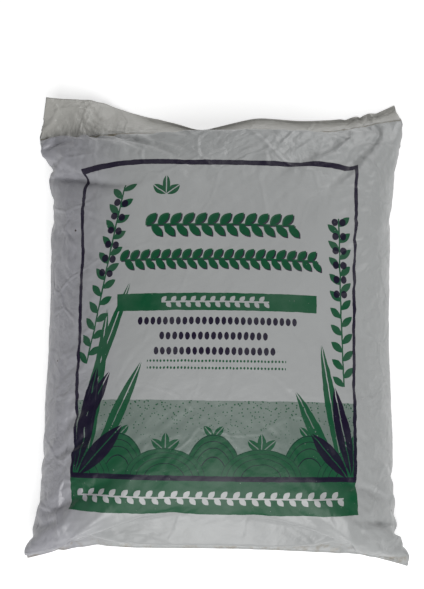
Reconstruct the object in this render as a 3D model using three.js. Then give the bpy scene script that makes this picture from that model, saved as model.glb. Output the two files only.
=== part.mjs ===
// A filled compost bag of white film, lying on its back with the printed face up.
// It is a lay-flat film tube, heat sealed across both ends. A narrow flange of film lies beyond the
// bottom seal, and a wide empty tail lies beyond the top seal, where the bag was closed after filling.
// Millimetres. X runs across the bag, +Y towards the top seal and +Z up.
// The origin is on the ground under the middle of the bag's box.
import * as THREE from "three";

// The film tube, as it lies flat
const FLAT_WIDTH = 350;
const BODY_LENGTH = 433; // between the two seals
const TAIL_LENGTH = 44; // empty film beyond the top seal
const FLANGE_LENGTH = 7; // film beyond the bottom seal
const WEB_THICKNESS = 1; // the two films of the tail or flange, with the air that is left between them

// The filled body. Filling draws the flat tube's sides and ends in by shares of the filled height.
const FILL_HEIGHT = 89;
const SIDE_DRAW_IN = 0.485;
const END_DRAW_IN = 0.6;
const WAIST_WIDTH = FLAT_WIDTH - SIDE_DRAW_IN * FILL_HEIGHT;
const SEAL_TO_SEAL = BODY_LENGTH - END_DRAW_IN * FILL_HEIGHT;
const SIDE_HEIGHT = 25; // the widest line's height above the ground at the waist
const SEAL_HEIGHT = 34; // the seals' height at the middle of each end
const GROUND_PRESS = 1.5; // how far the filling would sink the underside, which makes its flat face

// The corners, where the seals end in pointed ears
const CORNER_TUCK = 0.5; // how far each corner is drawn in from the flat width
const CORNER_DROP = 6; // how much lower the corners are than the middle of the seal
const CORNER_REACH = 13; // how far the corners stand out past the middle of the seal
const CORNER_SLUMP = 20; // how far the top left corner is pulled back over its slack filling

// How the tail and flange hang, in degrees below level. The tail stands out at its left end, turns down
// between two places across the bag, in millimetres from its middle, and is steepest at a third.
const TAIL_STAND = 4;
const TAIL_HANG = 62;
const TAIL_PLUNGE = 9;
const HANG_FROM = -158;
const HANG_TO = -45;
const PLUNGE_PLACE = -20;
const PLUNGE_REACH = 40;
const FLANGE_HANG = 40;

// How squarely the body is filled out: 2 is an ellipse, and more is squarer
const CROWN_ACROSS = 2.1;
const CROWN_ALONG = 2.8;
const UNDER_ROUND = 12;

// How late the sides widen towards the corners, and how close to the ends the seals' shape is felt
const WIDENING = 4.5;
const END_REACH = 4;
const CORNER_POWER = 3;
const SLUMP_REACH = 8;

// Mesh steps
const ACROSS = 36; // faces across each side of the bag
const BODY_RINGS = 34;
const TAIL_RINGS = 5;
const FLANGE_RINGS = 2;

const radians = THREE.MathUtils.degToRad;

// 1 in the middle of a span and 0 at both its ends, for a place from -1 to 1
function dome(place, roundness) {
  return Math.sqrt(Math.max(0, 1 - Math.pow(Math.abs(place), roundness)));
}

// The widest line of the bag, for a place along it, -1 at the bottom seal to 1 at the top seal, and across
// it, -1 at the left to 1 at the right
function seamPoint(along, across) {
  const halfWaist = WAIST_WIDTH / 2;
  const halfCorner = FLAT_WIDTH / 2 - CORNER_TUCK;
  const end = Math.pow(Math.abs(along), END_REACH);
  const corner = end * Math.pow(Math.abs(across), CORNER_POWER);
  const halfWidth = halfWaist + (halfCorner - halfWaist) * Math.pow(Math.abs(along), WIDENING);
  const slump = Math.pow(Math.max(0, along), SLUMP_REACH) * Math.pow(Math.max(0, -across), CORNER_POWER);
  return new THREE.Vector3(
    across * halfWidth,
    (along * SEAL_TO_SEAL) / 2 + CORNER_REACH * Math.sign(along) * corner - CORNER_SLUMP * slump,
    SIDE_HEIGHT + (SEAL_HEIGHT - SIDE_HEIGHT) * end - CORNER_DROP * corner,
  );
}

// A point on the filled body. facing is 1 on the printed top and -1 underneath.
function bodyPoint(along, across, facing) {
  const point = seamPoint(along, across);
  if (facing > 0) {
    point.z += (FILL_HEIGHT - SIDE_HEIGHT) * dome(along, CROWN_ALONG) * dome(across, CROWN_ACROSS);
  } else {
    point.z -= (point.z + GROUND_PRESS) * dome(along, UNDER_ROUND) * dome(across, UNDER_ROUND);
  }
  point.z = Math.max(0, point.z);
  return point;
}

// How far below level the tail hangs at a place across the bag, in radians
function tailHang(x) {
  const turned = THREE.MathUtils.smoothstep(x, HANG_FROM, HANG_TO);
  const plunge = TAIL_PLUNGE * Math.exp(-Math.pow((x - PLUNGE_PLACE) / PLUNGE_REACH, 2));
  return radians(TAIL_STAND + (TAIL_HANG - TAIL_STAND) * turned + plunge);
}

// A point on the two films beyond a seal, at a reach from it and hanging by an angle. end is 1 for the tail
// and -1 for the flange. The films close on each other at the sides, and stay off the ground.
function webPoint(end, reach, hang, across, facing) {
  const point = seamPoint(end, across);
  const half = (WEB_THICKNESS / 2) * dome(across, UNDER_ROUND);
  point.y += end * (reach * Math.cos(hang) + facing * half * Math.sin(hang));
  point.z = Math.max(half, point.z - reach * Math.sin(hang)) + facing * half * Math.cos(hang);
  return point;
}

// One ring of points round the bag: the top face from left to right, then the underside back again
function ring(pointAt) {
  const points = [];
  for (let i = 0; i < 2 * ACROSS; i++) {
    const facing = i <= ACROSS ? 1 : -1;
    const angle = -Math.PI / 2 + (Math.PI * i) / ACROSS;
    points.push(pointAt(Math.sin(angle), facing));
  }
  return points;
}

// All rings in order, from the flange's edge to the tail's edge
function bagRings() {
  const rings = [];
  for (let i = FLANGE_RINGS; i > 0; i--) {
    const reach = (FLANGE_LENGTH * i) / FLANGE_RINGS;
    rings.push(ring((across, facing) => webPoint(-1, reach, radians(FLANGE_HANG), across, facing)));
  }
  rings.push(ring((across, facing) => webPoint(-1, 0, radians(FLANGE_HANG), across, facing)));
  for (let i = 1; i < BODY_RINGS; i++) {
    const along = -Math.cos((Math.PI * i) / BODY_RINGS);
    rings.push(ring((across, facing) => bodyPoint(along, across, facing)));
  }
  for (let i = 0; i <= TAIL_RINGS; i++) {
    const reach = (TAIL_LENGTH * i) / TAIL_RINGS;
    rings.push(
      ring((across, facing) => {
        const hang = tailHang(seamPoint(1, across).x);
        return webPoint(1, reach, hang, across, facing);
      }),
    );
  }
  return rings;
}

// Joins the rings into one closed skin. Each end ring is a slit, closed by a strip from top to underside.
function skin(rings) {
  const around = rings[0].length;
  const positions = rings.flat().flatMap((point) => point.toArray());
  const faces = [];
  const quad = (a, b, c, d) => faces.push(a, b, c, a, c, d);
  for (let r = 0; r + 1 < rings.length; r++) {
    for (let i = 0; i < around; i++) {
      const next = (i + 1) % around;
      quad(r * around + i, r * around + next, (r + 1) * around + next, (r + 1) * around + i);
    }
  }
  const last = (rings.length - 1) * around;
  for (let i = 0; i < ACROSS; i++) {
    const under = (around - i) % around;
    const underNext = around - i - 1;
    if (under !== i) {
      faces.push(i, under, underNext);
      faces.push(last + i, last + underNext, last + under);
    }
    if (underNext !== i + 1) {
      faces.push(i, underNext, i + 1);
      faces.push(last + i, last + i + 1, last + underNext);
    }
  }
  const geometry = new THREE.BufferGeometry();
  geometry.setAttribute("position", new THREE.Float32BufferAttribute(positions, 3));
  geometry.setIndex(faces);
  geometry.computeVertexNormals();
  return geometry;
}

const whiteFilm = new THREE.MeshStandardMaterial({ color: 0xa9abab, roughness: 0.42, metalness: 0 });

const filledBag = new THREE.Mesh(skin(bagRings()), whiteFilm);
filledBag.name = "filled_bag";
filledBag.geometry.computeBoundingBox();
const box = filledBag.geometry.boundingBox;
filledBag.position.set(-(box.min.x + box.max.x) / 2, -(box.min.y + box.max.y) / 2, -box.min.z);

const compostBag = new THREE.Group();
compostBag.add(filledBag);

export default compostBag;
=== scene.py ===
"""A filled compost bag of printed white film, as it lies on its back.

The film is simulated. It starts as a flat tube that bends but doesn't stretch, is welded across both ends,
and settles round its filling on the ground. Lengths are in millimetres until the mesh is made, in metres.
Each patch of film is known by its place on the flat tube: x across it, and s along it from the bottom edge.
"""

import bpy
import numpy as np
from mathutils import Matrix, Vector


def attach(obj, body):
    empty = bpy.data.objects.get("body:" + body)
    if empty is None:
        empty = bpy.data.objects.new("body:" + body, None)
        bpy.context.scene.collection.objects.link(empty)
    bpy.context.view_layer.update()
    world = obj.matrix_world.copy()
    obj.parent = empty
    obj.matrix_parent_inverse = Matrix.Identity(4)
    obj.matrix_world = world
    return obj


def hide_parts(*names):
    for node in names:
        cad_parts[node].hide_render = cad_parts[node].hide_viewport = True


NODE = "filled_bag"
BODY = "root"
MILLIMETRE = 0.001
TINY = 1e-9  # keeps a length that is divided by off zero

# The flat film tube. CELL is the coarse grid's step along it, and each finer grid halves the steps.
WIDTH = 350.0
TAIL = 44.0
TAIL_CELLS = 6
CELL = TAIL / TAIL_CELLS
FLANGE_CELLS = 1
BODY_CELLS = 59
CELLS_AROUND = 92
CELLS_ALONG = FLANGE_CELLS + BODY_CELLS + TAIL_CELLS
LENGTH = CELLS_ALONG * CELL
BOTTOM_SEAL = FLANGE_CELLS * CELL
TOP_SEAL = LENGTH - TAIL
START_HEIGHT = 40.0  # how high above the ground the empty tube starts
START_OPENING = 15.0  # how far each film bulges there

# The settled soil, a closed form that the film can't enter. A place along it runs from -1 at the bottom seal
# to 1 at the top seal. Powers say how squarely it is filled out: 2 is an ellipse, and more is squarer.
FILL_LITRES = 8.25
CUBIC_MM_PER_LITRE = 1e6
HEAP_WAIST = 153.0  # half its width at the middle
HEAP_FLARE = 10.0  # how much wider each side is at the ends
FLARE_POWER = 2.2
HEAP_CROWN = 86.0  # its height at the middle
HEAP_SIDE = 26.0  # the widest line's height, which turns into the seals' height towards the ends
SIDE_POWER = 4
HEAP_LEAN = 4.0  # how much higher the crown is at the bottom end, and lower at the top end
HEAP_SHIFT = 1.0  # how far the soil has slid to the right
HEAP_SKEW = 4.0  # how much further at the top end, and less at the bottom end
HEAP_ENDS = 0.93  # the soil stops this far along the body
CROWN_ALONG = 2.0
CROWN_ACROSS = 2.1
UNDER_ALONG = 3.0
UNDER_ACROSS = 6.0
SLACK = 0.7  # the share of its height that the top left corner lacks
SLACK_ALONG = 0.35  # how far that is felt, along the body as a share of half of it
SLACK_ACROSS = 80.0

# How the seals lie: their height, and how far each point of them is pulled along the bag, across the film
SEAL_HEIGHT = 34.0
EAR_DROP = 6.0  # how much lower the seals' ends are
EAR_POWER = 3
WELD_SPREAD = 0.988  # a seal's width as a share of the flat film's
TOP_BOW = [(-172, -7.5), (-149, -6), (-120, -3), (-83, 1), (-45, -0.5), (-26, -1.5), (13, -1.5), (56, 0.5),
           (82, 2.5), (111, 6), (135, 8.5), (156, 12.5), (174, 16)]
BOTTOM_BOW = [(-176, -10), (-148, -3), (-100, 2), (-77, 0.5), (0, 0), (35, -1), (60, -2.5), (91, -4.5),
              (127, -5.5), (150, -9.5), (174, -16)]

# How far below level the tail leans, in degrees, across the film. At its left end it also turns to the
# right, by TAIL_TURN of the way out.
TAIL_LEAN = [(-175, 2), (-153, 9), (-124, 19), (-105, 31), (-86, 44), (-70, 53), (-56, 57), (-40, 62),
             (-27, 68), (-18, 71), (-3, 66), (12, 60), (31, 53), (50, 57), (70, 61), (139, 64), (151, 65),
             (164, 62), (175, 56)]
TAIL_TURN = 0.1
TAIL_TURN_REACH = 70.0
TAIL_CLEAR = 1  # how far above the ground the tail is held
FLANGE_OUT = 0.9  # how far the flange's edge stands out from the bottom seal, and hangs below it, as shares
FLANGE_DOWN = 0.35

# The simulation's passes. fine is how many grid steps each cell is cut into, and noise is the start noise.
# In each step, load is the filling's push for each LOAD_DEPTH of depth, weight is the fall, stiff is the
# share of the bending force, push is the most that the film swells, sweeps is how often the lengths are made
# good, and damp is the share of the motion that goes on. The soil and seals are felt unless held is false.
PASSES = [
    dict(fine=1, steps=400, noise=0.3, load=0.004, weight=0.002, stiff=0.003, push=0.4, sweeps=3, damp=0.93,
         held=False),
    dict(fine=1, steps=900, noise=0.0, load=0.004, weight=0.002, stiff=0.003, push=0.4, sweeps=3, damp=0.93),
    dict(fine=2, steps=500, noise=0.15, load=0.001, weight=0.001, stiff=0.002, push=0.1, sweeps=4,
         damp=0.93),
    dict(fine=4, steps=200, noise=0.04, load=0.0005, weight=0.0004, stiff=0.0008, push=0.03, sweeps=6,
         damp=0.9),
]
QUICK_FINE = 2
SEED = 3
SOFTENINGS = 3
LOAD_LEVEL = 0.5  # the filling presses below this share of the bag's height
LOAD_DEPTH = 50
SWELL_SHARE = 0.5
# How the soil, the seals and the ground draw the film at each step, as shares of the way
SOIL_PULL = 0.5
SOIL_GROWTH = 0.05  # the most that the soil may spread a point from its middle, as a share
SOIL_STEP = 1  # and in millimetres
SOIL_LEAST_REACH = 0.5
SOIL_LEAST_DEPTH = 1e-3
WEB_PULL = 0.15
WELD_PULL = 0.25
SPREAD_PULL = 0.1
GROUND_GRIP = 0.3
FILM_GAP = 0.4  # least space between front and back film, and each film's lift off the other in the webs
LIFT_POWER = 0.25  # how close to the folds the webs' films stay apart

# Small creases, moved into the mesh: how far apart they lie, how long they are, their slant in degrees and
# their height
CREASES = [(9, 32, 50, 0.75), (25, 50, 25, 1.0), (7, 9, 20, 0.3)]
CREASE_SEED = 5
RIDGE_LEVEL = 0.8  # the mean of the size of noise whose mean square is 1
RIDGE_BLUR = 4  # a ridge's width and length, divided by the blur's
QUARTER_BLEND = 4000  # x times s, from the bag's middle, over which one slant turns into the other
# Where the film is slack: two places each, where that begins and where it is full
SLACK_BESIDE = (90, 130)
SLACK_TOP = (360, 405)
SLACK_TAIL = (LENGTH + 10, TOP_SEAL)
SLACK_FOOT = (95, 20)
CALM_FOLDS = (135, 160)
TOP_STRENGTH = 0.7
FOOT_STRENGTH = 0.3
FOLD_CALM = 0.7
TAUT = 0.24  # how strong the creases are where the film is taut
WELD_REACH = 14.0  # how far from the welds the two films still move as one

# Relief in the material, too fine for the mesh. A band is from, to and the fade beyond each.
LOOSE_SIDE = (95.0, 150.0)
LOOSE_FOOT = (95.0, 20.0)
LOOSE_FOOT_STRENGTH = 0.3
LOOSE_TOP = (405.0, TOP_SEAL, 50.0)
LOOSE_LEAST = 0.25
BEND_STEP = 45.0  # the sharp creases' cells are bent by a noise of this size
BEND_REACH = 26
CREASE_CELL = 46
CREASE_EDGE = 0.07  # a sharp crease's half width as a share of a cell
CREASE_HEIGHT = 0.6
CRUMPLE = dict(across=9.0, along=15.0, turn=55, detail=3.0)
CRUMPLE_HEIGHT = 2.2
PLEAT = dict(across=6.0, along=13.0, turn=20, detail=3.0)
PLEAT_HEIGHT = 2.3
PLEAT_BAND = (TOP_SEAL + 1, TOP_SEAL + 7, 15.0)
PLEAT_GATHER = (-30.0, -90.0)  # across the film, where the pleats grow from PLEAT_LEAST to full
PLEAT_LEAST = 0.25
WELD_DENT = (TOP_SEAL - 1.2, TOP_SEAL + 1.2, 1.0)
WELD_DEPTH = 0.8
GRAIN_STEP = 1.6
GRAIN_HEIGHT = 0.02

# The print, in millimetres from its own middle line and foot line. They lie PRINT_X from the film's middle
# and PRINT_Y from its bottom edge.
PRINT_X = -4.5
PRINT_Y = 6.5
FRAME_HALF = 126.0
FRAME_LINE = 3.3
FRAME_TOP = 377.0
FRAME_TOP_BAR = 5.5
FOOT_BAND = (60.5, 90.0)
FOOT_RULE = 4.5
FIELD_TOP = 158.0
MIDDLE_BAND = (235.0, 250.3)
MIDDLE_BAND_HALF = 88.0

# The print's ornaments, from the same two lines
STEM_HALF = 0.7
GARLAND_ANGLE = 48
VEIN = 0.9
SHADE_SHIFT = 1.1
# Rows of leaves on a stem: start, length, step from leaf to leaf, and each leaf's length and half width
LEAF_ROWS = [((-64.5, 312.5), 132, 11.0, (14.5, 3.7)), ((-86.5, 281), 176, 9.2, (12, 3.1))]
PALE_ROWS = [((-48, 242.6), 100, 8.5, (6.6, 2.0)), ((-119, 75.2), 238, 10.5, (8.2, 2.4))]
# Rows of seeds and dots: each row's middle and half length, and its seeds' step, half width and half height
SEED_ROWS = [((1, 226), 70), ((-2, 213), 47), ((-1, 200), 54)]
SEED_SIZES = (5.6, 2.1, 3.4)
DOT_ROWS = [((1, 191.5), 60.0), ((1, 185.5), 60.0)]
DOT_SIZES = (3.0, 0.9, 1.1)
# The sprout: its base, and each leaf's angle, length and half width
SPROUT_BASE = (-46.5, 341)
SPROUT_LEAVES = [(38, 15, 4.2), (142, 15, 4.2), (90, 19, 3.4)]
# Two rows of soil mounds: one mound's place across, its half width and height, how wide its furrows are as
# squared radii, and its seedling's leaves
MOUND_STEP = 82.0
MOUND_BASE = 92.0
MOUND_EDGE = 1.04  # a mound's squared radius, just past its last furrow
FURROW_STEP = 0.25
SEEDLING_SINK = 2
FAR_MOUNDS = dict(first=0.0, half=24, height=37, furrow=0.012, leaf=(13, 3.0), angles=(48, 132))
NEAR_MOUNDS = dict(first=41.0, half=34, height=25, furrow=0.009, leaf=(16, 3.6), angles=(40, 90, 140))
# Leaves of the plants inside the frame: base, angle, length and half width
GREEN_BLADES = [((-112, 92), 84, 150, 5.5), ((-108, 92), 66, 110, 6), ((-117, 150), 70, 120, 5),
                ((113, 92), 100, 120, 5.5), ((108, 92), 117, 85, 6)]
VIOLET_BLADES = [((-121, 94), 80, 95, 8), ((-119, 92), 48, 60, 8), ((-123, 125), 62, 66, 6),
                 ((121, 94), 102, 80, 7), ((118, 93), 132, 52, 7)]
# Sprigs: start, angle and length, the step and size of their leaves, and the berries beside their stems
SPRIGS = [((-115, 190), 79, 165), ((114, 172), 92.5, 150)]
SPRIG_STEP = 15.0
SPRIG_LEAF = (14, 3.2)
BERRIES_FROM = 75.0
BERRIES = 6
BERRY_STEP = 13.0
BERRY_OFFSET = 3.6
BERRY_SIZE = (3.4, 3.0)

# How the inks lie: the size of each pattern, the noise levels between which it grows, and what ink is left
WANDER_STEP = 7
WANDER_REACH = 1.0  # how far the plate's edges wander
STIPPLE_STEP = 2.6
STIPPLE_FROM = 110.0
STIPPLE_DOTS = (0.08, 0.30)  # the dots' size as a share of their step, there and at the field's top
PINHOLE_STEP = 1.5
PINHOLE_LEVELS = (0.84, 0.88)
PINHOLE_INK = 0.5
THIN_STEP = 24
THIN_LEVELS = (0.3, 0.75)
THIN_INK = 0.90

# Colours of the film, the inks and the soiling
FILM_WHITE = "#A9ABAB"
FILM_GREY = "#A1A3A3"
FILM_WARM = "#B0AFAA"
# painted shade: the film at the left drawn darker and cooler, as where less light falls
FILM_PAINTED_SHADE = "#9C9CA2"
PALE_GREEN_LOW = "#596962"
PALE_GREEN_HIGH = "#727F78"
GREEN_INK = "#124F32"
VIOLET_INK = "#191029"
WELD_BROWN = "#66604A"
SOIL_BROWN = "#857A66"
SPECK_BROWN = "#3A312A"

# Where the film is tinted, darkened by painted shade at the left, and soiled, with bands as above
MOTTLE_STEP = 60
WARM_TAIL = (TOP_SEAL - 2, TOP_SEAL + 6)
# where the painted shade at the left begins and where it is full
PAINTED_SHADE_LEFT = (-70.0, -150.0)
DIRT_STEP = 9
DIRT_BROKEN = 0.65  # how broken up the dirt's edges are
DIRT_LEVELS = (0.5, 0.75)
FOOT_DIRT = (-10.0, BOTTOM_SEAL, 7.0)
WELD_DIRT = (TOP_SEAL - 1, TOP_SEAL + 2, 3.0)
WELD_WAVER_STEP = 22
WELD_WAVER = 7.0
WELD_LINE_HALF = 1.2
WELD_STAIN = 0.7
SPECK_STEP = 48
SPECK_SIZE = 0.022  # as a share of that step

# The film's gloss
FILM_IOR = 1.51
FILM_SHINE = 0.5  # the shine that the IOR gives
INK_MATTE = -0.32  # how much less the inks shine
ROUGH_CLEAN = 0.30
ROUGH_DULL = 0.44
SMEAR = dict(across=25.0, along=60.0, turn=20, detail=4.0)
SMEAR_LEVELS = (0.3, 0.7)

# The floor, the lamps with their place and side in metres, and the sky
FLOOR_HALF = 6.0
FLOOR_WHITE = "#E6E6E6"
FLOOR_GLOW = 0.55
WINDOW = dict(place=(0, -1.22, 1.50), size=1.4, watts=31)
FAR_WINDOW = dict(place=(0.89, 1.55, 0.69), size=1.2, watts=14.5)
LAMP_TARGET = (0, 0, 0.04)
SKY_STRENGTH = 0.15
WHITE_LIGHT = (1, 1, 1, 1)

# Camera, fitted to the bag's outline in the photograph's frame of 424 by 589 pixels
FRAME_PIXELS = (424, 589)
CAMERA_DISTANCE = 1.0
CAMERA_TILT = 8.0  # degrees from straight down, towards the bottom end
LOOK_HEIGHT = 0.040
PIXELS_PER_MM = 1.0967
LOOK_PIXEL = (217.6, 320.9)
SENSOR_HEIGHT = 24


def hex_colour(text):
    """An sRGB hex colour as linear red, green, blue and alpha."""
    srgb = np.array([int(text[i : i + 2], 16) for i in (1, 3, 5)]) / 255
    linear = np.where(srgb <= 0.04045, srgb / 12.92, ((srgb + 0.055) / 1.055) ** 2.4)
    return (*linear.tolist(), 1.0)


def flat_places(fine):
    """The grid's places on the flat film: s along it, x across it, for columns that run round the tube.

    Columns start at the left fold, cross the front to the right fold, and come back across the back.
    """
    s = np.arange(CELLS_ALONG * fine + 1) * CELL / fine
    around = np.arange(CELLS_AROUND * fine) * 2 * WIDTH / (CELLS_AROUND * fine)
    x = np.where(around <= WIDTH, around - WIDTH / 2, 3 * WIDTH / 2 - around)
    return s, x


def seal_rows(fine):
    """The grid rows of the bottom seal and the top seal."""
    return FLANGE_CELLS * fine, (FLANGE_CELLS + BODY_CELLS) * fine


def sealed_rows(rows, fine):
    """Which rows are at a seal or beyond it, where the two films lie on each other."""
    bottom, top = seal_rows(fine)
    row = np.arange(rows)
    return (row <= bottom) | (row >= top)


def behind(grid):
    """The grid with each point's partner from the other side of the flat tube in its place."""
    return np.roll(grid[..., ::-1], 1, axis=-1)


def first_shape():
    """The empty tube held level above the ground, just open: a half ellipse of film above and one below."""
    s, x = flat_places(1)
    bag = np.zeros((3, len(s), len(x)), np.float32)
    bag[0] = x[None]
    bag[1] = s[:, None] - LENGTH / 2
    columns = np.arange(len(x))
    side = np.where(columns <= len(x) // 2, 1.0, -1.0) * np.sqrt(np.clip(np.cos(np.pi * x / WIDTH), 0, 1))
    body = np.clip((s - BOTTOM_SEAL) / (TOP_SEAL - BOTTOM_SEAL), 0, 1)
    bag[2] = START_HEIGHT + START_OPENING * side[None] * np.sqrt(np.sin(np.pi * body)[:, None])
    return bag


def tie(first, second, rest, share):
    """Moves pairs of points along the line between them, by a share of how far off their rest length is."""
    apart = second - first
    apart *= share * (1 - rest / (np.sqrt((apart * apart).sum(0)) + TINY))
    first += apart
    second -= apart


def keep_lengths(bag, step_along, step_around):
    """Brings each cell's edges and diagonals back to their flat length, in sets of separate pairs."""
    tie(bag[:, :, 0::2], bag[:, :, 1::2], step_around, 0.5)
    turned = np.roll(bag, -1, 2)
    tie(turned[:, :, 0::2], turned[:, :, 1::2], step_around, 0.5)
    bag[...] = np.roll(turned, 1, 2)
    rows = bag.shape[1]
    spans = ((0, rows // 2 * 2), (1, 1 + (rows - 1) // 2 * 2))
    for start, stop in spans:
        tie(bag[:, start:stop:2], bag[:, start + 1 : stop + 1 : 2], step_along, 0.5)
    diagonal = float(np.hypot(step_along, step_around))
    for start, stop in spans:
        for turn in (-1, 1):
            upper = bag[:, start + 1 : stop + 1 : 2]
            moved = np.roll(upper, turn, 2)
            tie(bag[:, start:stop:2], moved, diagonal, 0.25)
            upper[...] = np.roll(moved, -turn, 2)


def outward(bag):
    """The outward normal of each point times its share of the area: the cross product of its two spans."""
    around = np.roll(bag, -1, 2) - np.roll(bag, 1, 2)
    along = np.empty_like(bag)
    along[:, 1:-1] = bag[:, 2:] - bag[:, :-2]
    along[:, 0] = 2 * (bag[:, 1] - bag[:, 0])
    along[:, -1] = 2 * (bag[:, -1] - bag[:, -2])
    return np.cross(around, along, axis=0) * 0.25


def unit_normals(bag):
    """The outward normal of each point, of length 1."""
    normal = outward(bag)
    normal /= np.sqrt((normal * normal).sum(0)) + TINY
    return normal


def bending(bag):
    """The film's resistance to bending: the second difference of the second difference, both ways."""
    turn = np.roll(bag, -1, 2) - 2 * bag + np.roll(bag, 1, 2)
    force = np.roll(turn, -1, 2) - 2 * turn + np.roll(turn, 1, 2)
    arch = np.zeros_like(bag)
    arch[:, 1:-1] = bag[:, 2:] - 2 * bag[:, 1:-1] + bag[:, :-2]
    force -= 2 * arch
    force[:, 1:] += arch[:, :-1]
    force[:, :-1] += arch[:, 1:]
    return force


def finer(bag):
    """The same film on a grid twice as fine, with each new point on a cubic through its four neighbours.

    The point midway between four points a, b, c and d in a row is (9 (b + c) - (a + d)) / 16.
    """
    rows, columns = bag.shape[1:]
    fine = np.zeros((3, 2 * rows - 1, 2 * columns), bag.dtype)
    fine[:, ::2, ::2] = bag
    near, far = bag + np.roll(bag, -1, 2), np.roll(bag, 1, 2) + np.roll(bag, -2, 2)
    fine[:, ::2, 1::2] = (9 * near - far) / 16
    known = fine[:, ::2]
    middle = (known[:, 1:] + known[:, :-1]) / 2
    middle[:, 1:-1] = (9 * (known[:, 2:-1] + known[:, 1:-2]) - (known[:, 3:] + known[:, :-3])) / 16
    fine[:, 1::2] = middle
    return fine


def dome(place, power):
    """The root of 1 - |place|^power: 1 in the middle of a span and 0 at its ends, where place is -1 and 1."""
    return np.sqrt(np.clip(1 - np.abs(place) ** power, 0, 1))


def points_at(x, points):
    """A value across the film, straight between the given points."""
    return np.interp(x, *np.array(points, float).T)


def soil(fine):
    """A function that pushes film out of the settled soil.

    Each row of film meets a section of the soil, half an ellipse above its widest line and a squarer one
    below. Its width grows and its height falls towards the seals, and its top left corner is hollow. A point
    inside it moves away from the section's middle.
    """
    s, x = flat_places(fine)
    along = (2 * (s - BOTTOM_SEAL) / (TOP_SEAL - BOTTOM_SEAL) - 1)[:, None]
    width = HEAP_WAIST + HEAP_FLARE * np.abs(along) ** FLARE_POWER
    side = HEAP_SIDE + (SEAL_HEIGHT - HEAP_SIDE) * along**SIDE_POWER
    corner = -(((along - 1) / SLACK_ALONG) ** 2) - ((x[None] + WIDTH / 2) / SLACK_ACROSS) ** 2
    hollow = SLACK * np.exp(corner)
    rise = (HEAP_CROWN - HEAP_LEAN * along - side) * dome(along, CROWN_ALONG) * (1 - hollow)
    fall = side * dome(along, UNDER_ALONG)
    middle = HEAP_SHIFT + HEAP_SKEW * along
    inside_ends = np.abs(along) < HEAP_ENDS

    def push(bag):
        across, up = bag[0] - middle, bag[2] - side
        power = np.where(up > 0, CROWN_ACROSS, UNDER_ACROSS)
        reach = np.where(up > 0, rise, fall) + SOIL_LEAST_REACH
        depth = np.abs(across / width) ** power + np.abs(up / reach) ** power
        growth = np.maximum(depth, SOIL_LEAST_DEPTH) ** (-1 / power) - 1
        growth = SOIL_PULL * np.clip(growth, 0, SOIL_GROWTH) * inside_ends
        bag[0] += np.clip(growth * across, -SOIL_STEP, SOIL_STEP)
        bag[2] += np.clip(growth * up, -SOIL_STEP, SOIL_STEP)

    return push


def seals(fine):
    """A function that draws the welds to their bowed lines, and the tail and the flange to their lean."""
    s, x = flat_places(fine)
    bottom, top = seal_rows(fine)
    lean = np.radians(points_at(x, TAIL_LEAN))
    beyond = (s[top + 1 :] - s[top])[:, None]
    flange = (s[bottom] - s[:bottom])[:, None]
    turn = TAIL_TURN * np.exp(-(((x + WIDTH / 2) / TAIL_TURN_REACH) ** 2)) * beyond
    height = SEAL_HEIGHT - EAR_DROP * (np.abs(x) / (WIDTH / 2)) ** EAR_POWER

    def draw(bag):
        weld = bag[:, top].copy()
        tail = bag[:, top + 1 :]
        tail[0] += WEB_PULL * (weld[0] + turn - tail[0])
        tail[1] += WEB_PULL * (weld[1] + beyond * np.cos(lean) - tail[1])
        tail[2] += WEB_PULL * (np.maximum(weld[2] - beyond * np.sin(lean), TAIL_CLEAR) - tail[2])
        foot = bag[:, bottom].copy()
        edge = bag[:, :bottom]
        edge[1] += WEB_PULL * (foot[1] - flange * FLANGE_OUT - edge[1])
        edge[2] += WEB_PULL * (foot[2] - flange * FLANGE_DOWN - edge[2])
        for row, bow in ((top, points_at(x, TOP_BOW)), (bottom, points_at(x, BOTTOM_BOW))):
            line = bag[:, row]
            line[1] += WELD_PULL * ((line[1] - bow).mean() + bow - line[1])
            line[2] += WELD_PULL * (height - line[2])
            line[0] += SPREAD_PULL * (WELD_SPREAD * x - line[0])

    return draw


def keep_apart(bag, welded, before):
    """Joins the films where they are welded, keeps the front above the back, and both above the ground."""
    half = bag.shape[2] // 2
    bag[:, welded] = 0.5 * (bag + behind(bag))[:, welded]
    overlap = np.minimum((bag[2] - behind(bag)[2])[:, 1:half] - FILM_GAP, 0) * 0.5
    overlap[welded] = 0
    bag[2][:, 1:half] -= overlap
    bag[2][:, -1:half:-1] += overlap
    sunk = bag[2] < 0
    bag[:2, sunk] = (1 - GROUND_GRIP) * bag[:2, sunk] + GROUND_GRIP * before[:2, sunk]
    np.maximum(bag[2], 0, out=bag[2])


def settle(bag, fine, steps, load, weight, stiff, push, sweeps, damp, held=True):
    """Lets the film find its rest.

    Each step carries the motion on, a little damped, and adds the filling's weight, which presses harder the
    deeper it is, a push along the normals towards the filling's volume, bending and gravity. Then the soil,
    the seals, the lengths and the ground are made good in turn.
    """
    rows, columns = bag.shape[1:]
    step_along, step_around = CELL / fine, 2 * WIDTH / columns
    area = step_along * step_around
    welded = sealed_rows(rows, fine)
    push_out, draw = soil(fine), seals(fine)
    before = bag.copy()
    for _ in range(steps):
        motion = (bag - before) * damp
        before = bag.copy()
        normal = outward(bag)
        lack = FILL_LITRES * CUBIC_MM_PER_LITRE - float((bag * normal).sum() / 3)
        normal[:, welded] = 0
        swell = np.clip(lack / (normal * normal).sum() * area, -push, push)
        depth = (bag[2].max() * LOAD_LEVEL - bag[2]) / LOAD_DEPTH
        bag += motion + normal / area * (load * depth + SWELL_SHARE * swell)[None] - stiff * bending(bag)
        bag[2] -= weight
        if held:
            draw(bag)
            push_out(bag)
        for _ in range(sweeps):
            keep_lengths(bag, step_along, step_around)
            keep_apart(bag, welded, before)
    return bag


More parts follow.
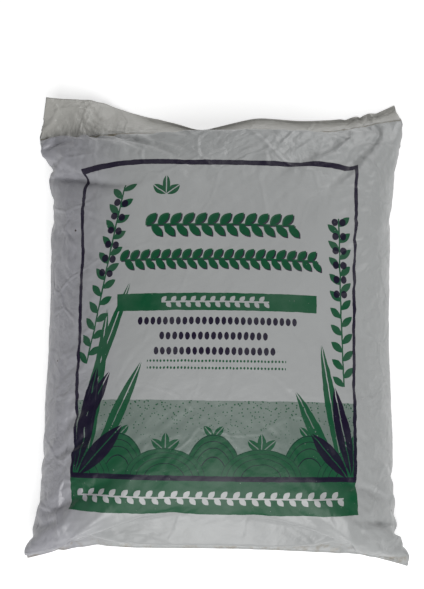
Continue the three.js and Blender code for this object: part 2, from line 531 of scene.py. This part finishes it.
def softened(bag):
    """The film with each point moved to the mean of itself and its neighbours, which irons out its grid.

    The point itself counts twice and each neighbour once, first round the tube and then along it.
    """
    bag = (2 * bag + np.roll(bag, 1, 2) + np.roll(bag, -1, 2)) / 4
    mean = bag.copy()
    mean[:, 1:-1] = (2 * bag[:, 1:-1] + bag[:, 2:] + bag[:, :-2]) / 4
    return mean


def film_shape():
    """The settled film, in millimetres, as a grid of 3 by rows by columns, and how fine the grid is."""
    random = np.random.default_rng(SEED)
    bag, fine = first_shape(), 1
    for plan in PASSES:
        settings = dict(plan)
        noise = settings.pop("noise")
        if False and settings["fine"] > QUICK_FINE:
            continue
        if settings["fine"] > fine:
            bag, fine = finer(bag), settings["fine"]
        bag += random.normal(0, 1, bag.shape).astype(np.float32) * noise
        bag = settle(bag, **settings)
    for _ in range(SOFTENINGS):
        bag = softened(bag)
    bag[1] -= (bag[1].max() + bag[1].min()) / 2
    return bag, fine


def smooth_step(value, low, high):
    """0 at the low end and 1 at the high end, with 3 t^2 - 2 t^3 between them."""
    t = np.clip((value - low) / (high - low), 0, 1)
    return t * t * (3 - 2 * t)


def ridges(random, shape, steps, width, length, slant):
    """Ridges this far apart and this long, slanting to the right by some degrees, with a mean of about 0.

    White noise is blurred by a Gaussian of the width and length over RIDGE_BLUR, which multiplies each of
    its waves by exp(-(k size / RIDGE_BLUR)^2 / 2). With the result n scaled to a mean square of 1, the
    ridges are RIDGE_LEVEL - |n|.
    """
    waves_along, waves_across = (2 * np.pi * np.fft.fftfreq(n, step) for n, step in zip(shape, steps))
    cos, sin = np.cos(np.radians(slant)), np.sin(np.radians(slant))
    along = cos * waves_along[:, None] + sin * waves_across[None]
    across = cos * waves_across[None] - sin * waves_along[:, None]
    keep = np.exp(-((along * length) ** 2 + (across * width) ** 2) / (2 * RIDGE_BLUR**2))
    noise = np.fft.ifft2(np.fft.fft2(random.normal(size=shape)) * keep).real
    return RIDGE_LEVEL - np.abs(noise / noise.std())


def slackness(s, x):
    """How slack the film is: most beside the print and below the top weld, less at the folds and foot."""
    calm = FOLD_CALM * smooth_step(np.abs(x), *CALM_FOLDS)
    side = (smooth_step(np.abs(x), *SLACK_BESIDE) - calm)[None]
    top = TOP_STRENGTH * smooth_step(s, *SLACK_TOP)[:, None] * smooth_step(s, *SLACK_TAIL)[:, None]
    foot = FOOT_STRENGTH * smooth_step(s, *SLACK_FOOT)[:, None]
    return np.maximum(np.maximum(side, top), np.maximum(foot, TAUT))


def creased(bag, fine):
    """The film with small creases along its normals, where it is slack.

    They slant towards the nearest corner of the bag, so they lean one way in two opposite quarters and the
    other way in the other two. Near the welds and beyond them both films move by the mean of their moves.
    """
    random = np.random.default_rng(CREASE_SEED)
    s, x = flat_places(fine)
    steps = CELL / fine, 2 * WIDTH / len(x)
    quarter = np.tanh((s - LENGTH / 2)[:, None] * x[None] / QUARTER_BLEND) / 2 + 0.5
    height = np.zeros((len(s), len(x)))
    for width, length, slant, rise in CREASES:
        right = ridges(random, height.shape, steps, width, length, slant)
        left = ridges(random, height.shape, steps, width, length, -slant)
        height += rise * (quarter * right + (1 - quarter) * left)
    move = unit_normals(bag) * (height * slackness(s, x))[None]
    inside = np.clip(np.minimum(s - BOTTOM_SEAL, TOP_SEAL - s), 0, None)
    together = np.exp(-((inside / WELD_REACH) ** 2))[None, :, None]
    bag = bag + move + together * (behind(move) - move) / 2
    bag[2] = np.maximum(bag[2], 0)
    return bag


def part_webs(bag, fine):
    """Lifts the two films of the flange and the tail off each other, by FILM_GAP along the web's normal.

    The lift falls to nothing at the folds, so that the films still meet there: it goes with the sine of the
    way across, to the power LIFT_POWER.
    """
    rows, columns = bag.shape[1:]
    place = np.minimum(np.arange(columns), columns - np.arange(columns)) / (columns // 2)
    lift = FILM_GAP * np.sin(np.pi * place) ** LIFT_POWER
    web = sealed_rows(rows, fine)[:, None]
    parted = bag + unit_normals(bag) * (lift[None] * web)[None]
    parted[2] = np.maximum(parted[2], 0)
    return parted


def grid_faces(rows, columns):
    """Quads of the closed skin: round the tube, then a strip across each end from front to back film."""
    row, column = np.meshgrid(np.arange(rows - 1), np.arange(columns), indexing="ij")
    beside = (column + 1) % columns
    skin = np.stack([row * columns + column, row * columns + beside, (row + 1) * columns + beside,
                     (row + 1) * columns + column], -1).reshape(-1, 4)
    front = np.arange(columns // 2)
    back = (columns - front) % columns
    cap = np.stack([front, back, columns - front - 1, front + 1], -1)
    far_cap = cap[:, ::-1] + (rows - 1) * columns
    return skin, np.concatenate([cap, far_cap])


def film_mesh():
    """The bag's mesh, with a map of each corner's place on the flat film, in metres: round it and along it.

    Where a quad closes the tube, its corners in the first column lie a whole way round.
    """
    bag, fine = film_shape()
    bag = part_webs(creased(bag, fine), fine)
    rows, columns = bag.shape[1:]
    skin, caps = grid_faces(rows, columns)
    mesh = bpy.data.meshes.new(NODE + "_film")
    faces = [tuple(dict.fromkeys(face)) for face in np.concatenate([skin, caps]).tolist()]
    mesh.from_pydata((bag.reshape(3, -1).T * MILLIMETRE).tolist(), [], faces)
    mesh.polygons.foreach_set("use_smooth", np.ones(len(faces), bool))
    corner = np.empty(len(mesh.loops), np.int32)
    mesh.loops.foreach_get("vertex_index", corner)
    around, along = corner % columns, corner // columns
    wraps = np.zeros(len(corner), bool)
    quads = around[: skin.size].reshape(skin.shape)
    wraps[: skin.size] = ((quads == 0) & (quads.max(1) == columns - 1)[:, None]).ravel()
    around = (around + wraps * columns) * 2 * WIDTH / columns
    place = np.stack([around, along * CELL / fine], -1) * MILLIMETRE
    flat = mesh.uv_layers.new(name="flat_film")
    flat.uv.foreach_set("vector", place.astype(np.float32).ravel())
    mesh.update()
    return mesh


def add(tree, kind, *inputs, out=0, named=None, **settings):
    """Adds a shader node, sets it up, and fills or links its inputs in order or by name. Returns an output.

    A kind such as Math.ADD names the node and its operation.
    """
    kind, _, operation = kind.partition(".")
    node = tree.nodes.new("ShaderNode" + kind)
    if operation:
        node.operation = operation
    for name, value in settings.items():
        setattr(node, name, value)
    for key, value in [*enumerate(inputs), *(named or {}).items()]:
        if isinstance(value, bpy.types.NodeSocket):
            tree.links.new(value, node.inputs[key])
        else:
            node.inputs[key].default_value = value
    return node.outputs[out] if len(node.outputs) else None


def new_material(name):
    """An empty node material and its tree."""
    material = bpy.data.materials.new(name)
    material.use_nodes = True
    material.node_tree.nodes.clear()
    return material, material.node_tree


def either(tree, *marks):
    """1 where any of the marks is."""
    whole = marks[0]
    for mark in marks[1:]:
        whole = add(tree, "Math.MAXIMUM", whole, mark)
    return whole


def box_mark(tree, x, y, left, right, low, high):
    """1 inside a rectangle of the print."""
    across = add(tree, "Math.COMPARE", x, (left + right) / 2, (right - left) / 2)
    along = add(tree, "Math.COMPARE", y, (low + high) / 2, (high - low) / 2)
    return add(tree, "Math.MULTIPLY", across, along)


def turned(tree, x, y, base, angle, length=1.0, width=1.0):
    """How far a place is along a direction from the base, and across it, in these lengths and widths."""
    cos, sin = float(np.cos(np.radians(angle))), float(np.sin(np.radians(angle)))
    start_along = -(base[0] * cos + base[1] * sin) / length
    start_across = (base[0] * sin - base[1] * cos) / width
    along = add(tree, "Math.MULTIPLY_ADD", y, sin / length, start_along)
    along = add(tree, "Math.MULTIPLY_ADD", x, cos / length, along)
    across = add(tree, "Math.MULTIPLY_ADD", y, cos / width, start_across)
    across = add(tree, "Math.MULTIPLY_ADD", x, -sin / width, across)
    return along, across


def leaf_mark(tree, x, y, base, angle, length, half_width, vein=0.0):
    """1 inside a pointed leaf that grows from its base, but for a bare line down its middle.

    With t the share of the way along it, the leaf ends where the place across it is 4 t (1 - t) half widths.
    """
    along, across = turned(tree, x, y, base, angle, length, 4 * half_width)
    across = add(tree, "Math.ABSOLUTE", across)
    squared = add(tree, "Math.MULTIPLY", along, along)
    bulge = add(tree, "Math.SUBTRACT", along, squared)
    leaf = add(tree, "Math.LESS_THAN", across, bulge)
    if not vein:
        return leaf
    beside = add(tree, "Math.GREATER_THAN", across, vein / (8 * half_width))
    return add(tree, "Math.MULTIPLY", leaf, beside)


def radius_squared(tree, x, y, across, along):
    """The square of the distance from the origin, where 1 is an ellipse with these half widths."""
    u = add(tree, "Math.MULTIPLY", x, 1 / across)
    v = add(tree, "Math.MULTIPLY", y, 1 / along)
    u = add(tree, "Math.MULTIPLY", u, u)
    return add(tree, "Math.MULTIPLY_ADD", v, v, u)


def seed_row(tree, x, y, middle, half_length, step, across, along):
    """Upright oval seeds side by side in a row."""
    x = add(tree, "Math.SUBTRACT", x, middle[0])
    y = add(tree, "Math.SUBTRACT", y, middle[1])
    inside = add(tree, "Math.COMPARE", x, 0.0, half_length)
    x = add(tree, "Math.WRAP", x, step / 2, -step / 2)
    radius = radius_squared(tree, x, y, across, along)
    seed = add(tree, "Math.LESS_THAN", radius, 1.0)
    return add(tree, "Math.MULTIPLY", seed, inside)


def garland(tree, x, y, start, angle, length, step, leaf):
    """A stem with leaves on both sides in turn. leaf is each leaf's length and half width."""
    along, across = turned(tree, x, y, start, angle)
    reach = length // step * step
    marks = [box_mark(tree, along, across, 0.0, reach, -STEM_HALF, STEM_HALF)]
    for side, shift in ((1, 0.0), (-1, step / 2)):
        place = add(tree, "Math.WRAP", along, shift + step, shift)
        mark = leaf_mark(tree, place, across, (shift, 0), side * GARLAND_ANGLE, *leaf)
        inside = add(tree, "Math.COMPARE", along, shift + reach / 2, reach / 2)
        marks.append(add(tree, "Math.MULTIPLY", mark, inside))
    return either(tree, *marks)


def frame_marks(tree, x, y):
    """The print's violet frame: a bar at the top, a line at each side and a rule on the foot band."""
    half, line = FRAME_HALF, FRAME_LINE
    low, high = FOOT_BAND[1], FRAME_TOP
    return either(
        tree,
        box_mark(tree, x, y, -half, half, high - FRAME_TOP_BAR, high),
        box_mark(tree, x, y, -half, -half + line, low, high),
        box_mark(tree, x, y, half - line, half, low, high),
        box_mark(tree, x, y, -half, half, low, low + FOOT_RULE),
    )


def mounds(tree, x, y, row):
    """A row of soil mounds, each with a seedling on top: the green of both, the furrows, and the soil alone.

    A mound is half an ellipse. Its furrows lie where the squared distance from its middle is a multiple of
    FURROW_STEP.
    """
    x = add(tree, "Math.WRAP", x, row["first"] + MOUND_STEP / 2, row["first"] - MOUND_STEP / 2)
    x = add(tree, "Math.SUBTRACT", x, row["first"])
    y = add(tree, "Math.SUBTRACT", y, MOUND_BASE)
    radius = radius_squared(tree, x, y, row["half"], row["height"])
    above = add(tree, "Math.GREATER_THAN", y, 0.0)
    mound = add(tree, "Math.LESS_THAN", radius, MOUND_EDGE)
    mound = add(tree, "Math.MULTIPLY", mound, above)
    ring = add(tree, "Math.WRAP", radius, FURROW_STEP / 2, -FURROW_STEP / 2)
    ring = add(tree, "Math.COMPARE", ring, 0.0, row["furrow"])
    outside = add(tree, "Math.GREATER_THAN", radius, FURROW_STEP / 2)
    ring = add(tree, "Math.MULTIPLY", ring, outside)
    ring = add(tree, "Math.MULTIPLY", ring, mound)
    top = (0, row["height"] - SEEDLING_SINK)
    leaves = [leaf_mark(tree, x, y, top, angle, *row["leaf"], VEIN) for angle in row["angles"]]
    return either(tree, mound, *leaves), ring, mound


def row_marks(tree, x, y):
    """The small ornaments inside the frame and on its bands: green, their shade, violet and pale."""
    green, shade, violet = [], [], []
    for start, length, step, leaf in LEAF_ROWS:
        for marks, shift in ((green, 0.0), (shade, SHADE_SHIFT)):
            place = (start[0] + shift, start[1] - shift)
            marks.append(garland(tree, x, y, place, 0, length, step, leaf))
    for middle, half_length in SEED_ROWS:
        violet.append(seed_row(tree, x, y, middle, half_length, *SEED_SIZES))
    for middle, half_length in DOT_ROWS:
        green.append(seed_row(tree, x, y, middle, half_length, *DOT_SIZES))
    for leaf in SPROUT_LEAVES:
        green.append(leaf_mark(tree, x, y, SPROUT_BASE, *leaf, VEIN))
    pale = [garland(tree, x, y, start, 0, length, step, leaf) for start, length, step, leaf in PALE_ROWS]
    return either(tree, *green), either(tree, *shade), either(tree, *violet), either(tree, *pale)


def berries(tree, along, across):
    """Berries on both sides of a stem, for a place along it and across it."""
    span = BERRIES * BERRY_STEP
    inside = add(tree, "Math.COMPARE", along, BERRIES_FROM + span / 2, span / 2)
    along = add(tree, "Math.WRAP", along, BERRIES_FROM + BERRY_STEP, BERRIES_FROM)
    along = add(tree, "Math.SUBTRACT", along, BERRIES_FROM + BERRY_STEP / 2)
    across = add(tree, "Math.ABSOLUTE", across)
    across = add(tree, "Math.SUBTRACT", across, BERRY_OFFSET)
    berry = add(tree, "Math.LESS_THAN", radius_squared(tree, along, across, *BERRY_SIZE), 1.0)
    return add(tree, "Math.MULTIPLY", berry, inside)


def border_plants(tree, x, y):
    """The leafy plants inside the frame's sides, in green and in violet."""
    green = [leaf_mark(tree, x, y, *blade, VEIN) for blade in GREEN_BLADES]
    violet = [leaf_mark(tree, x, y, *blade, VEIN) for blade in VIOLET_BLADES]
    for start, angle, length in SPRIGS:
        green.append(garland(tree, x, y, start, angle, length, SPRIG_STEP, SPRIG_LEAF))
        along, across = turned(tree, x, y, start, angle)
        violet.append(berries(tree, along, across))
    return either(tree, *green), either(tree, *violet)


def tube_place(tree, around, s):
    """Where a patch of film is with the tube blown up round, so that noise has no seam at the left fold."""
    radius = WIDTH / np.pi
    turn = add(tree, "Math.MULTIPLY", around, 1 / radius)
    cos, sin = add(tree, "Math.COSINE", turn), add(tree, "Math.SINE", turn)
    cos, sin = add(tree, "Math.MULTIPLY", cos, radius), add(tree, "Math.MULTIPLY", sin, radius)
    return add(tree, "CombineXYZ", cos, sin, s)


def painted(tree, base, *layers):
    """The base colour with layers over it, each a share and a colour."""
    for share, over in layers:
        under = hex_colour(base) if isinstance(base, str) else base
        over = hex_colour(over) if isinstance(over, str) else over
        base = add(tree, "Mix", data_type="RGBA", out=2, named={0: share, 6: under, 7: over})
    return base


def summed(tree, *parts):
    """The sum of values, each times its weight."""
    whole = 0.0
    for value, weight in parts:
        whole = add(tree, "Math.MULTIPLY_ADD", value, weight, whole)
    return whole


def band_share(tree, value, low, high, fade):
    """1 between two places, falling smoothly to 0 over a fade beyond each."""
    rise = add(tree, "MapRange", value, low - fade, low, 0.0, 1.0, interpolation_type="SMOOTHSTEP")
    fall = add(tree, "MapRange", value, high, high + fade, 1.0, 0.0, interpolation_type="SMOOTHSTEP")
    return add(tree, "Math.MULTIPLY", rise, fall)


def tube_noise(tree, place, across, along, turn, detail):
    """Noise from 0 to 1 in streaks this wide across the bag and this long along it, turned by degrees."""
    place = add(tree, "VectorRotate", place, named={"Angle": np.radians(turn)}, rotation_type="Y_AXIS")
    place = add(tree, "VectorMath.DIVIDE", place, (across, across, along))
    return add(tree, "TexNoise", place, named={"Scale": 1.0, "Detail": detail})


def film_relief(tree, place, x, s):
    """The height of the film's finest creases, in millimetres.

    Sharp creases, along the edges of bent cells, and crumples are strong where the film is slack, near the
    sides and the top seal. Short pleats run from the top weld into the tail. Blowing the film left a grain.
    """
    side = add(tree, "Math.ABSOLUTE", x)
    side = add(tree, "MapRange", side, *LOOSE_SIDE, 0.0, 1.0, interpolation_type="SMOOTHSTEP")
    foot = add(tree, "MapRange", s, *LOOSE_FOOT, 0.0, LOOSE_FOOT_STRENGTH, interpolation_type="SMOOTHSTEP")
    slack = either(tree, side, foot, band_share(tree, s, *LOOSE_TOP))
    slack = add(tree, "Math.MULTIPLY_ADD", slack, 1 - LOOSE_LEAST, LOOSE_LEAST)
    bent = add(tree, "TexNoise", place, out=1, named={"Scale": 1 / BEND_STEP, "Detail": 1.0})
    bent = add(tree, "VectorMath.MULTIPLY_ADD", bent, (BEND_REACH, BEND_REACH, BEND_REACH), place)
    crease = add(tree, "TexVoronoi", bent, feature="DISTANCE_TO_EDGE", named={"Scale": 1 / CREASE_CELL})
    crease = add(tree, "MapRange", crease, 0.0, CREASE_EDGE, 1.0, 0.0, interpolation_type="SMOOTHSTEP")
    crumple = tube_noise(tree, bent, **CRUMPLE)
    loose = summed(tree, (crease, CREASE_HEIGHT), (crumple, CRUMPLE_HEIGHT))
    loose = add(tree, "Math.MULTIPLY", loose, slack)
    pleat = tube_noise(tree, place, **PLEAT)
    gather = add(tree, "MapRange", x, *PLEAT_GATHER, PLEAT_LEAST, 1.0, interpolation_type="SMOOTHSTEP")
    gather = add(tree, "Math.MULTIPLY", band_share(tree, s, *PLEAT_BAND), gather)
    pleat = add(tree, "Math.MULTIPLY", pleat, gather)
    weld = band_share(tree, s, *WELD_DENT)
    grain = add(tree, "TexNoise", place, named={"Scale": 1 / GRAIN_STEP, "Detail": 1.0})
    return summed(tree, (loose, 1.0), (pleat, PLEAT_HEIGHT), (weld, -WELD_DEPTH), (grain, GRAIN_HEIGHT))


def ink_cover(tree, place):
    """How much of the ink is there, where pinholes and thin patches show the film."""
    hole = add(tree, "TexNoise", place, named={"Scale": 1 / PINHOLE_STEP, "Detail": 0.0})
    hole = add(tree, "MapRange", hole, *PINHOLE_LEVELS, 1.0, PINHOLE_INK)
    thin = add(tree, "TexNoise", place, named={"Scale": 1 / THIN_STEP, "Detail": 4.0})
    thin = add(tree, "MapRange", thin, *THIN_LEVELS, 1.0, THIN_INK)
    return add(tree, "Math.MULTIPLY", hole, thin)


def ink_shares(tree, place, x, y):
    """How much of each ink lies on the film: the pale field, its stipple, shade, green and violet.

    The plate's edges wander a little with a noise. The bands that carry pale ornaments leave them bare.
    """
    wander = add(tree, "TexNoise", place, named={"Scale": 1 / WANDER_STEP, "Detail": 1.0})
    wander = add(tree, "Math.MULTIPLY_ADD", wander, WANDER_REACH, -WANDER_REACH / 2)
    x = add(tree, "Math.ADD", x, wander)
    y = add(tree, "Math.ADD", y, wander)
    inside = box_mark(tree, x, y, -FRAME_HALF, FRAME_HALF, FOOT_BAND[1], FRAME_TOP)
    field = box_mark(tree, x, y, -FRAME_HALF, FRAME_HALF, FOOT_BAND[1], FIELD_TOP)
    bands = either(tree, box_mark(tree, x, y, -FRAME_HALF, FRAME_HALF, *FOOT_BAND),
                   box_mark(tree, x, y, -MIDDLE_BAND_HALF, MIDDLE_BAND_HALF, *MIDDLE_BAND))
    row_green, shade, row_violet, pale = row_marks(tree, x, y)
    plant_green, plant_violet = border_plants(tree, x, y)
    plant_green = add(tree, "Math.MULTIPLY", plant_green, inside)
    plant_violet = add(tree, "Math.MULTIPLY", plant_violet, inside)
    far_green, far_furrows, _ = mounds(tree, x, y, FAR_MOUNDS)
    near_green, near_furrows, near_soil = mounds(tree, x, y, NEAR_MOUNDS)
    far_furrows = add(tree, "Math.SUBTRACT", far_furrows, near_soil)
    mound_green = add(tree, "Math.MULTIPLY", either(tree, far_green, near_green), field)
    furrows = add(tree, "Math.MULTIPLY", either(tree, far_furrows, near_furrows), field)
    bare = add(tree, "Math.SUBTRACT", 1.0, pale)
    bands = add(tree, "Math.MULTIPLY", bands, bare)
    green = either(tree, bands, row_green, plant_green, mound_green)
    violet = either(tree, frame_marks(tree, x, y), row_violet, plant_violet, furrows)
    stipple = add(tree, "TexVoronoi", place, feature="F1", named={"Scale": 1 / STIPPLE_STEP})
    size = add(tree, "MapRange", y, STIPPLE_FROM, FIELD_TOP, *STIPPLE_DOTS)
    stipple = add(tree, "Math.LESS_THAN", stipple, size)
    stipple = add(tree, "Math.MULTIPLY", stipple, field)
    cover = ink_cover(tree, place)
    return [add(tree, "Math.MULTIPLY", mark, cover) for mark in (field, stipple, shade, green, violet)]


def soiling(tree, place, s):
    """Soil on the flange and at the top weld, the weld's brown line, and single specks, as three shares."""
    dirt = add(tree, "TexNoise", place,
               named={"Scale": 1 / DIRT_STEP, "Detail": 6.0, "Roughness": DIRT_BROKEN})
    dirt = add(tree, "MapRange", dirt, *DIRT_LEVELS, 0.0, 1.0)
    soiled = either(tree, band_share(tree, s, *FOOT_DIRT), band_share(tree, s, *WELD_DIRT))
    dirt = add(tree, "Math.MULTIPLY", dirt, soiled)
    waver = add(tree, "TexNoise", place, named={"Scale": 1 / WELD_WAVER_STEP, "Detail": 3.0})
    weld = add(tree, "Math.MULTIPLY_ADD", waver, WELD_WAVER, s)
    weld = add(tree, "Math.COMPARE", weld, TOP_SEAL + WELD_WAVER / 2, WELD_LINE_HALF)
    weld = add(tree, "Math.MULTIPLY", weld, WELD_STAIN)
    speck = add(tree, "TexVoronoi", place, feature="F1", named={"Scale": 1 / SPECK_STEP})
    speck = add(tree, "Math.LESS_THAN", speck, SPECK_SIZE)
    return dirt, weld, speck


def film_colour(tree, place, x, s, print_y, inks):
    """Mottled white, warmer in the tail and with painted shade that darkens the left, with the inks and the
    soiling over it.
    """
    field, stipple, shade, green, violet = inks
    field_tone = add(tree, "MapRange", print_y, FOOT_BAND[1], FIELD_TOP, 0.0, 1.0)
    field_colour = painted(tree, PALE_GREEN_LOW, (field_tone, PALE_GREEN_HIGH))
    mottle = add(tree, "TexNoise", place, named={"Scale": 1 / MOTTLE_STEP, "Detail": 5.0})
    tail = add(tree, "MapRange", s, *WARM_TAIL, 0.0, 1.0)
    # painted shade: the body's film is drawn darker and cooler towards the left fold
    left = add(tree, "MapRange", x, *PAINTED_SHADE_LEFT, 0.0, 1.0, interpolation_type="SMOOTHSTEP")
    filled = add(tree, "Math.LESS_THAN", s, TOP_SEAL)
    left = add(tree, "Math.MULTIPLY", left, filled)
    dirt, weld, speck = soiling(tree, place, s)
    return painted(tree, FILM_WHITE, (mottle, FILM_GREY), (tail, FILM_WARM), (left, FILM_PAINTED_SHADE),
                   (field, field_colour), (stipple, GREEN_INK), (shade, VIOLET_INK), (green, GREEN_INK),
                   (violet, VIOLET_INK), (weld, WELD_BROWN), (dirt, SOIL_BROWN), (speck, SPECK_BROWN))


def film_material():
    """Blown white polyethylene film, 0.1 mm thick, with flexographic print on the front.

    White pigment hides the soil and scatters the light, so the film looks greyish white and even. Its
    surface is semi-gloss, so broad soft highlights run along its folds, and smears make it duller in places.
    The inks are thin flat fields with pinholes, and shine less.
    """
    material, tree = new_material("printed_polyethylene_film")
    flat = add(tree, "UVMap", uv_map="flat_film")
    flat = add(tree, "VectorMath.SCALE", flat, named={"Scale": 1 / MILLIMETRE})
    around = add(tree, "SeparateXYZ", flat)
    s = add(tree, "SeparateXYZ", flat, out=1)
    x = add(tree, "Math.PINGPONG", around, WIDTH)
    x = add(tree, "Math.SUBTRACT", x, WIDTH / 2)
    place = tube_place(tree, around, s)
    print_x = add(tree, "Math.SUBTRACT", around, WIDTH / 2 + PRINT_X)
    print_y = add(tree, "Math.SUBTRACT", s, PRINT_Y)
    inks = ink_shares(tree, place, print_x, print_y)
    colour = film_colour(tree, place, x, s, print_y, inks)
    smear = tube_noise(tree, place, **SMEAR)
    roughness = add(tree, "MapRange", smear, *SMEAR_LEVELS, ROUGH_CLEAN, ROUGH_DULL)
    height = film_relief(tree, place, x, s)
    normal = add(tree, "Bump", named={"Strength": 1.0, "Distance": MILLIMETRE, "Height": height})
    green, violet = inks[-2:]
    printed = either(tree, green, violet)
    specular = add(tree, "Math.MULTIPLY_ADD", printed, INK_MATTE, FILM_SHINE)
    sockets = {"Base Color": colour, "Roughness": roughness, "Normal": normal, "IOR": FILM_IOR,
               "Specular IOR Level": specular}
    add(tree, "OutputMaterial", add(tree, "BsdfPrincipled", named=sockets))
    return material


def make_bag():
    """The filled bag, in place of its plain solid."""
    bag = bpy.data.objects.new("film_bag", film_mesh())
    bpy.context.collection.objects.link(bag)
    bag.data.materials.append(film_material())
    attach(bag, BODY)
    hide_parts(NODE)


def floor_material():
    """Matt white paper, which scatters light evenly. The camera sees it lit up to white, with shadows."""
    material, tree = new_material("white_paper")
    paper = add(tree, "BsdfDiffuse", hex_colour(FLOOR_WHITE))
    rays = ("Is Camera Ray", "Is Glossy Ray", "Is Transmission Ray")
    seen = either(tree, *(add(tree, "LightPath", out=kind) for kind in rays))
    strength = add(tree, "Math.MULTIPLY", seen, FLOOR_GLOW)
    glow = add(tree, "Emission", WHITE_LIGHT, strength)
    surface = add(tree, "AddShader", paper, glow)
    add(tree, "OutputMaterial", surface)
    return material


def make_floor():
    """A white studio floor, on which the bag lies."""
    mesh = bpy.data.meshes.new("floor")
    half = FLOOR_HALF
    mesh.from_pydata([(-half, -half, 0), (half, -half, 0), (half, half, 0), (-half, half, 0)], [],
                     [(0, 1, 2, 3)])
    floor = bpy.data.objects.new("floor", mesh)
    bpy.context.collection.objects.link(floor)
    mesh.materials.append(floor_material())


def make_light(name, place, size, watts):
    """A square soft light that faces the bag."""
    lamp = bpy.data.lights.new(name, "AREA")
    lamp.size = size
    lamp.energy = watts
    holder = bpy.data.objects.new(name, lamp)
    holder.location = place
    holder.rotation_euler = (Vector(LAMP_TARGET) - Vector(place)).to_track_quat("-Z", "Y").to_euler()
    bpy.context.collection.objects.link(holder)


def make_lights():
    """Daylight from above the bottom end, a weaker low light from the top right, and a dim sky."""
    make_light("window", **WINDOW)
    make_light("far_window", **FAR_WINDOW)
    world = bpy.data.worlds.new("dim_sky")
    bpy.context.scene.world = world
    world.use_nodes = True
    sky = world.node_tree.nodes["Background"]
    sky.inputs["Color"].default_value = WHITE_LIGHT
    sky.inputs["Strength"].default_value = SKY_STRENGTH


def make_camera():
    """The photograph's view: nearly straight down, a little from the bottom end.

    The camera turns from the bag's middle so that the middle falls on its pixel in the photograph.
    """
    tilt = np.radians(CAMERA_TILT)
    back = Vector((0, -np.sin(tilt), np.cos(tilt)))
    up = Vector((0, np.cos(tilt), np.sin(tilt)))
    eye = Vector((0, 0, LOOK_HEIGHT)) + back * CAMERA_DISTANCE
    width, height = FRAME_PIXELS
    metres_per_pixel = MILLIMETRE / PIXELS_PER_MM
    aim = Vector((0, 0, LOOK_HEIGHT))
    aim.x -= (LOOK_PIXEL[0] - width / 2) * metres_per_pixel
    aim += up * (LOOK_PIXEL[1] - height / 2) * metres_per_pixel
    lens = bpy.data.cameras.new("camera")
    lens.sensor_fit = "VERTICAL"
    lens.sensor_height = SENSOR_HEIGHT
    lens.lens = PIXELS_PER_MM * CAMERA_DISTANCE / MILLIMETRE / height * SENSOR_HEIGHT
    camera = bpy.data.objects.new("camera", lens)
    forward = (aim - eye).normalized()
    right = forward.cross(up).normalized()
    camera.matrix_world = Matrix((right, right.cross(forward), -forward)).transposed().to_4x4()
    camera.location = eye
    bpy.context.collection.objects.link(camera)
    bpy.context.scene.camera = camera


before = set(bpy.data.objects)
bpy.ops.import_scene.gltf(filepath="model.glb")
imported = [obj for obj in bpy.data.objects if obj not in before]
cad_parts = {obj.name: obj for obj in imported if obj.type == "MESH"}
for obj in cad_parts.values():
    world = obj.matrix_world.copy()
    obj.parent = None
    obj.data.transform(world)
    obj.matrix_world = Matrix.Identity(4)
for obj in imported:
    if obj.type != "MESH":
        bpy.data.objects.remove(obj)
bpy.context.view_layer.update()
make_camera()
make_bag()
make_floor()
make_lights()
bpy.context.scene.view_settings.view_transform = "Standard"
